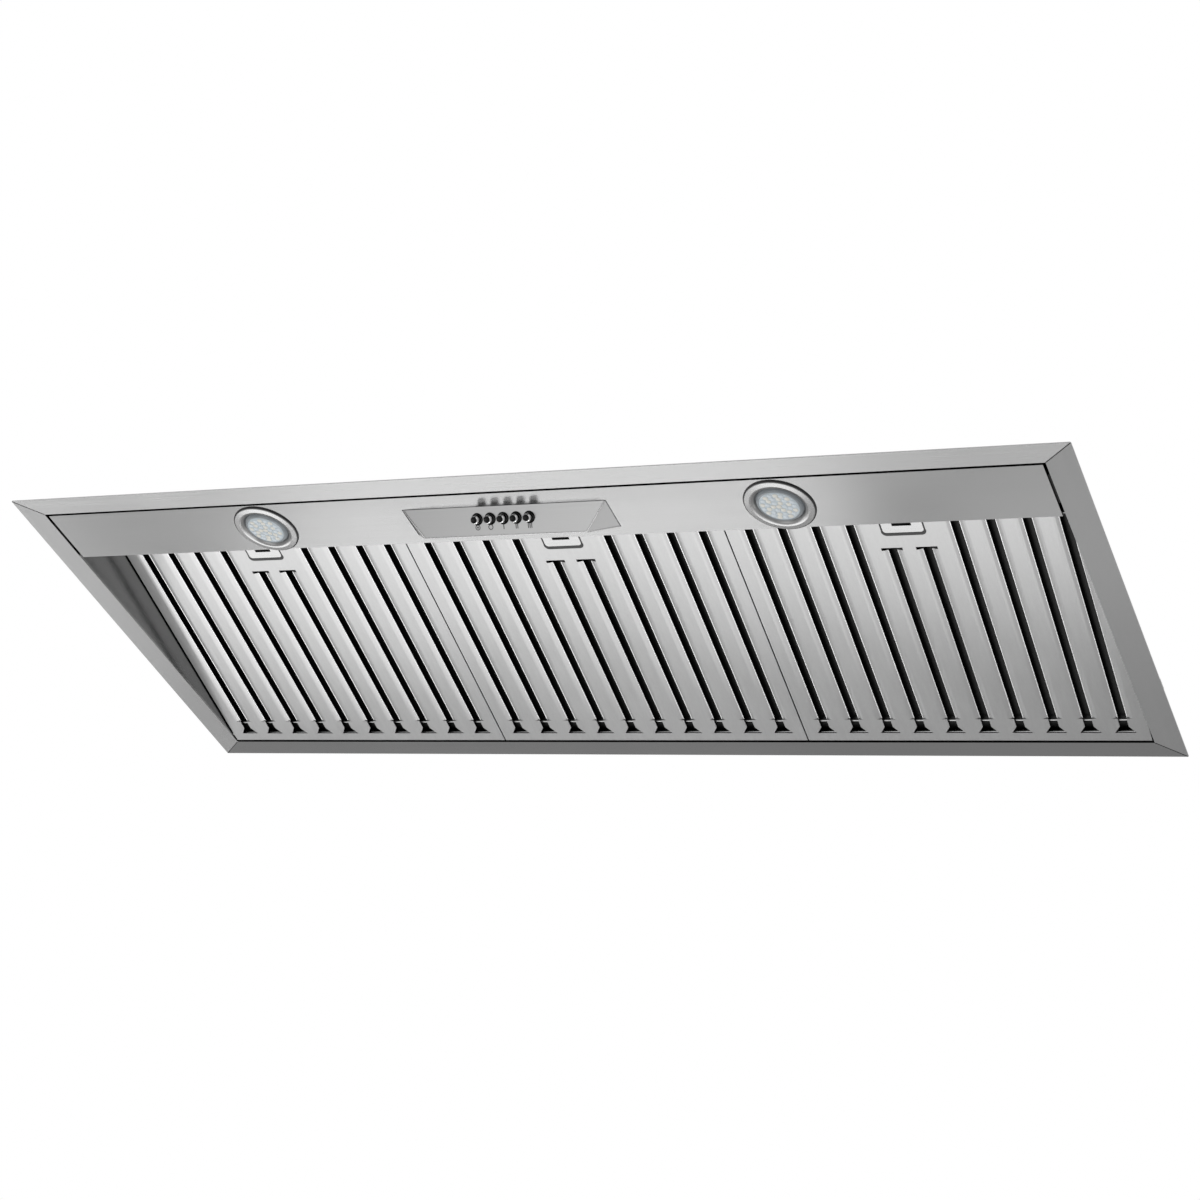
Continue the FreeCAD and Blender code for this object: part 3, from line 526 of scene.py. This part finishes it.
rivets = []
for x in spread(*shell["topRow"]):
    for y in (shell["topFront"] + shell["edge"], shell["outerRear"] - shell["edge"]):
        rivets.append(standing(place(x, y, shell["topZ"]), skyward))
for y in spread(*shell["topSideRow"]):
    for sx in (-1, 1):
        rivets.append(standing(place(sx * (shell["topHalf"] - shell["edge"]), y, shell["topZ"]), skyward))
for x in spread(*shell["frontRow"]):
    at = place(x, shell["outerFront"], shell["frontLeg"]) + frontUp * shell["edge"]
    rivets.append(standing(at, frontOut))
for x in spread(*shell["rearRow"]):
    rivets.append(standing(place(x, shell["outerRear"], shell["sideLeg"] + shell["edge"]), rearward))
for sx in (-1, 1):
    sideUp, sideOut = sideWays(sx)
    for y in spread(*shell["sideRow"]):
        at = place(sx * shell["outerX"], y, shell["sideLeg"]) + sideUp * shell["edge"]
        rivets.append(standing(at, sideOut))

# A bent cover strip along each sloping corner of the plenum, riveted on both wings.
# Spans are shares of the corner's length, or of the strip's for its rivets
strip = {"width": 0.018, "lift": 0.0001, "thick": 0.0015, "bend": 0.002, "rivets": (0.12, 0.88, 4),
         "rivetOut": 0.58, "frontSpan": (0.12, 0.985), "rearSpan": (0.015, 0.985)}


def cornerStrip(name, low, high, span, normalA, normalB):
    start, end = low.lerp(high, span[0]), low.lerp(high, span[1])
    along = (end - start).normalized()
    wings = []
    for own, other in ((normalA, normalB), (normalB, normalA)):
        wing = along.cross(own).normalized()
        wings.append(-wing if wing.dot(other) > 0 else wing)
    ridge = (normalA + normalB).normalized() * strip["lift"]
    bm = bmesh.new()
    line = [bm.verts.new(start + wings[0] * strip["width"] + normalA * strip["lift"]),
            bm.verts.new(start + ridge),
            bm.verts.new(start + wings[1] * strip["width"] + normalB * strip["lift"])]
    edges = [bm.edges.new(line[:2]), bm.edges.new(line[1:])]
    pushed = bmesh.ops.extrude_edge_only(bm, edges=edges)["geom"]
    bmesh.ops.translate(bm, vec=end - start, verts=vertsOf(pushed))
    fold = [edge for edge in bm.edges if len(edge.link_faces) == 2]
    bmesh.ops.bevel(bm, geom=fold, offset=strip["bend"], affect="EDGES", segments=4, profile=0.5, material=-1)
    bmesh.ops.recalc_face_normals(bm, faces=bm.faces[:])
    if bm.faces[0].normal.dot(normalA + normalB) < 0:
        bmesh.ops.reverse_faces(bm, faces=bm.faces[:])
    bmesh.ops.solidify(bm, geom=bm.faces[:], thickness=-strip["thick"])
    finishPiece(bm, name, "strip", "hood_body")
    for wing, own in zip(wings, (normalA, normalB)):
        offset = wing * strip["width"] * strip["rivetOut"] + own * (strip["lift"] + strip["thick"])
        for share in spread(*strip["rivets"]):
            rivets.append(standing(start.lerp(end, share) + offset, own))


hipY = shell["outerFront"] + (shell["sideLeg"] - shell["frontLeg"]) * frontUp.y / frontUp.z
for label, sx in (("Left", -1), ("Right", 1)):
    sideOut = sideWays(sx)[1]
    for name, lowY, highY, out in (("Front", hipY, shell["topFront"], frontOut),
                                   ("Rear", shell["outerRear"], shell["outerRear"], rearward)):
        low = place(sx * shell["outerX"], lowY, shell["sideLeg"])
        high = place(sx * shell["topHalf"], highY, shell["topZ"])
        cornerStrip("cornerStrip" + name + label, low, high, strip[name.lower() + "Span"], sideOut, out)
turnedPiece(shell["rivet"], shell["rivetSteps"], rivets, "plenumRivets", "rod", "hood_body")

screws = []
for turn in around(shell["collarScrews"], math.pi / shell["collarScrews"]):
    at = place(shell["collarRing"] * math.cos(turn), drawing["ductY"] + shell["collarRing"] * math.sin(turn),
               shell["collarTop"])
    screws.append(standing(at, skyward))
low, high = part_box("panel_fixings")  # the panel's side screws
screwZ = low[2] + shell["fixingHeight"] * (high[2] - low[2])
for y in (low[1] + shell["fixingEdge"], high[1] - shell["fixingEdge"]):
    for sx in (-1, 1):
        screws.append(standing(Vector((sx * shell["outerX"], y, screwZ)), (sx, 0, 0)))

# Round stiffening plate under the gland, and pressed knock-outs beside it and on the rear
top = {"plate": [(17.5, 0.0), (17.5, 1.2), (18.0, 1.6), (37.2, 1.6), (38.0, 1.2), (38.0, 0.0)],
       "plateSteps": 72, "plateRing": 0.031, "plateTop": 0.0016, "plateScrews": 4,
       "knockout": [(14.2, -0.05), (13.8, 0.35), (13.1, 0.5), (12.4, 0.15), (11.5, 0.15), (10.8, 0.5),
                    (3.0, 0.6), (2.4, 0.2), (0.0, 0.2)],
       "knockoutSteps": 48, "knockoutX": (-0.300, -0.250), "knockoutY": 0.350, "rearX": (0.300, 0.350),
       "rearZ": 0.140}
low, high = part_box("cable_gland")
gland = Vector(((low[0] + high[0]) / 2, (low[1] + high[1]) / 2, 0.0))
turnedPiece(top["plate"], top["plateSteps"], [Matrix.Translation(gland)], "glandPlate", "strip", "hood_body")
for turn in around(top["plateScrews"], math.pi / top["plateScrews"]):
    at = Vector((top["plateRing"] * math.cos(turn), top["plateRing"] * math.sin(turn), top["plateTop"]))
    screws.append(standing(gland + at, skyward))
knockouts = [standing(place(x, top["knockoutY"], shell["topZ"]), skyward) for x in top["knockoutX"]]
knockouts += [standing(place(x, shell["outerRear"], top["rearZ"]), rearward) for x in top["rearX"]]
turnedPiece(top["knockout"], top["knockoutSteps"], knockouts, "knockouts", "body", "hood_body")
turnedPiece(shell["screw"], shell["screwSteps"], screws, "bodyScrews", "rod", "hood_body")
print("outer fixings set:", len(rivets), "rivets,", len(screws), "screws")

# A cross bar inside each filter shows as a light tick at the foot of every slot, and the lips have rolled hems in
# a far lighter steel than the baffles, a painted highlight along each slot edge.
# The hem's bar is a metre long and is scaled to each slot
bar = {"half": 184.0, "radius": 1.1, "along": 26.4, "up": 4.0, "steps": 24, "shoulders": ((0.7, 0.0), (1.0, 0.3))}
hem = {"radius": 0.5, "up": 1.75, "outward": 0.35, "steps": 12, "length": 1000.0}
slotCount = filterPlan["slots"]
shortSlots = (slotCount // 2 - 1, slotCount // 2)
for i, label in enumerate(filterPlan["labels"]):
    start = onFilter(i, -bar["half"], bar["along"], bar["up"])
    turnedPiece(barProfile(bar["radius"], 2 * bar["half"], bar["shoulders"]), bar["steps"],
                [standing(start, (1, 0, 0))], "crossBar" + label, "bar", "filter_" + label.lower())
    hems = []
    for k in range(slotCount):
        end = filterPlan["length"] - filterPlan["latchBorder" if k in shortSlots else "frontBorder"]
        centre = (k - (slotCount - 1) / 2) * filterPlan["slotPitch"]
        for side in (-1, 1):
            v = centre + side * (filterPlan["throat"] + hem["outward"])
            low = onFilter(i, v, filterPlan["lipStart"], hem["up"])
            high = onFilter(i, v, end, hem["up"])
            hems.append(standing(low, high - low) @ Matrix.Diagonal((1, 1, (high - low).length, 1)))
    turnedPiece(barProfile(hem["radius"], hem["length"], bar["shoulders"]), hem["steps"], hems,
                "slotHems" + label, "hem", "filter_" + label.lower())
print("cross bars and slot hems set in the filters")

# A near-black seal round each latch paints the shadow in the gap round it; it reaches further over the sheet on
# the rear side, where that painted shadow is wider
latchShadowSeal = {"half": 21.9, "rear": 288.64, "front": 316.44, "corner": 4.2, "steps": 6, "grip": 0.8, "top": 0.78,
             "low": 0.1, "reach": 0.9, "rearReach": 2.2, "proud": 0.3, "lip": 0.02, "shoulder": (0.6, 0.7)}
sealPath = []
for sv, su, first in ((1, 1, 0), (-1, 1, 90), (-1, -1, 180), (1, -1, 270)):
    cornerV = sv * (latchShadowSeal["half"] - latchShadowSeal["corner"])
    cornerU = latchShadowSeal["front" if su > 0 else "rear"] - su * latchShadowSeal["corner"]
    for angle in spread(first, first + 90.0, latchShadowSeal["steps"] + 1):
        outV, outU = math.cos(math.radians(angle)), math.sin(math.radians(angle))
        sealPath.append((cornerV + latchShadowSeal["corner"] * outV, cornerU + latchShadowSeal["corner"] * outU, outV, outU))
for i, label in enumerate(filterPlan["labels"]):
    bm = bmesh.new()
    rings = []
    for v, u, outV, outU in sealPath:
        reach = latchShadowSeal["reach"] + latchShadowSeal["rearReach"] * max(0.0, -outU)
        proud = latchShadowSeal["proud"] * (1.0 - max(0.0, outU))
        section = [(-latchShadowSeal["grip"], latchShadowSeal["top"]), (-latchShadowSeal["grip"], latchShadowSeal["low"]),
                   (-latchShadowSeal["shoulder"][0] * latchShadowSeal["grip"], -latchShadowSeal["shoulder"][1] * proud),
                   (reach - latchShadowSeal["proud"], -proud), (reach, -latchShadowSeal["lip"]),
                   (latchShadowSeal["grip"], -latchShadowSeal["lip"]), (latchShadowSeal["grip"], latchShadowSeal["top"])]
        rings.append([bm.verts.new(onFilter(i, v + w * outV, u + w * outU, n)) for w, n in section])
    for ring, following in zip(rings, rings[1:] + rings[:1]):
        for k in range(len(ring)):
            bm.faces.new((ring[k - 1], ring[k], following[k], following[k - 1]))
    finishPiece(bm, "latchShadowSeal" + label, "shadowSealant", "filter_" + label.lower())
print("latch seals fitted")

# A thin line of sealant along each mitre of the flange
mitre = {"half": 0.589, "side": 0.0289, "end": 0.0247, "depth": 0.486, "width": 0.0011, "proud": 0.0002,
         "span": (0.02, 0.99), "round": 0.00012}
bm = bmesh.new()
for sx in (-1, 1):
    for edgeY, turnY in ((0.0, mitre["end"]), (mitre["depth"], mitre["depth"] - mitre["end"])):
        outer = place(sx * mitre["half"], edgeY, 0.0)
        inner = place(sx * (mitre["half"] - mitre["side"]), turnY, 0.0)
        aside = (inner - outer).cross(skyward).normalized() * mitre["width"] / 2
        start, end = [outer.lerp(inner, share) for share in mitre["span"]]
        corners = [start - aside, start + aside, end + aside, end - aside]
        face = bm.faces.new([bm.verts.new(corner) for corner in corners])
        grown = bmesh.ops.extrude_face_region(bm, geom=[face])["geom"]
        bmesh.ops.translate(bm, vec=(0, 0, -mitre["proud"]), verts=vertsOf(grown))
        under = [edge for part in grown if isinstance(part, bmesh.types.BMFace) for edge in part.edges]
        bmesh.ops.bevel(bm, geom=under, offset=mitre["round"], affect="EDGES", segments=2, profile=0.5,
                        material=-1)
finishPiece(bm, "mitreSealant", "shadowSealant", "hood_body")
print("mitre sealant laid")

# Camera from the photograph's fitted pinhole
camera = {"at": place(1.20322, -1.57375, -1.38828), "right": Vector((0.8889, 0.37769, 0.259243)),
          "down": Vector((-0.025142, 0.605278, -0.795617)), "ahead": Vector((-0.45741, 0.700706, 0.547528)),
          "lens": 74.141, "sensor": 36.0, "clipEnd": 200.0}
camData = bpy.data.cameras.new("photoCamera")
camData.lens = camera["lens"]
camData.sensor_width = camera["sensor"]
camData.clip_end = camera["clipEnd"]
camObj = bpy.data.objects.new("photoCamera", camData)
bpy.context.scene.collection.objects.link(camObj)
basis = Matrix((camera["right"], -camera["down"], -camera["ahead"])).transposed().to_4x4()
camObj.matrix_world = Matrix.Translation(camera["at"]) @ basis
bpy.context.scene.camera = camObj
print("camera placed")

# Floor
studio = {"floorZ": -1.85, "floorSize": 160.0, "softboxZ": -1.75, "ambient": 0.63, "backdrop": 1.0,
          "horizon": 1.0, "overhead": 0.5, "fadeFrom": 0.25}
bm = bmesh.new()
bmesh.ops.create_grid(bm, x_segments=1, y_segments=1, size=studio["floorSize"] / 2,
                      matrix=Matrix.Translation((0, 0, studio["floorZ"])))
floorMesh = bpy.data.meshes.new("floor")
bm.to_mesh(floorMesh)
bm.free()
floorObj = bpy.data.objects.new("floor", floorMesh)
bpy.context.scene.collection.objects.link(floorObj)
floorMesh.materials.append(moulded("paleFloor", grey(0.84), grey(0.88), bump=0.0, Scale=6.0))

# World: white to the camera, and in reflections it fades from white at the horizon to grey overhead
world = bpy.data.worlds.new("studioWorld")
bpy.context.scene.world = world
world.use_nodes = True
sky = world.node_tree
sky.nodes.clear()
rays = sky.nodes.new("ShaderNodeLightPath").outputs
split = sky.nodes.new("ShaderNodeSeparateXYZ")
feed(sky, split.inputs["Vector"], sky.nodes.new("ShaderNodeTexCoord").outputs["Generated"])
fade = {"From Min": studio["fadeFrom"], "To Min": studio["horizon"], "To Max": studio["overhead"]}
mirrored = calculate(sky, "MAXIMUM", rays["Is Glossy Ray"], rays["Is Transmission Ray"])
lit = blend(sky, "FLOAT", mirrored, studio["ambient"], remap(sky, split.outputs["Z"], fade, True))
glow = sky.nodes.new("ShaderNodeBackground")
feed(sky, glow.inputs["Color"], grey(1.0))
feed(sky, glow.inputs["Strength"], blend(sky, "FLOAT", rays["Is Camera Ray"], lit, studio["backdrop"]))
feed(sky, sky.nodes.new("ShaderNodeOutputWorld").inputs["Surface"], glow.outputs["Background"])

# Softboxes lie just above the floor and face straight up: centre and size in metres, power in watts
softboxes = {
    "filterSoftboxLeft": ((-2.00, 0.44), (1.8, 1.10), 13.0),
    "filterSoftboxRight": ((-0.40, 0.415), (1.4, 1.05), 9.0),
    "panelSoftbox": ((-1.30, 1.60), (1.40, 0.34), 2.85),
    "leftSoftbox": ((-2.88, 1.93), (0.5, 0.74), 1.12),
    "rightSoftbox": ((-0.14, 1.70), (0.5, 0.3), 0.28),
    "controlSoftbox": ((-0.50, -1.50), (1.4, 0.9), 4.5),
    "endSoftbox": ((1.80, 1.95), (1.0, 1.0), 4.2),
    "hipSoftbox": ((0.55, -0.05), (0.7, 0.7), 2.6),
    "wallSoftbox": ((0.65, 0.70), (0.7, 0.5), 1.2),
}
facingUp = skyward.to_track_quat("-Z", "Y").to_matrix().to_4x4()
for name, (centre, size, power) in softboxes.items():
    data = bpy.data.lights.new(name, "AREA")
    data.shape = "RECTANGLE"
    data.size, data.size_y = size
    data.energy = power
    obj = bpy.data.objects.new(name, data)
    bpy.context.scene.collection.objects.link(obj)
    obj.matrix_world = Matrix.Translation((*centre, studio["softboxZ"])) @ facingUp
print("studio ready")

bpy.context.scene.view_settings.view_transform = "Standard"
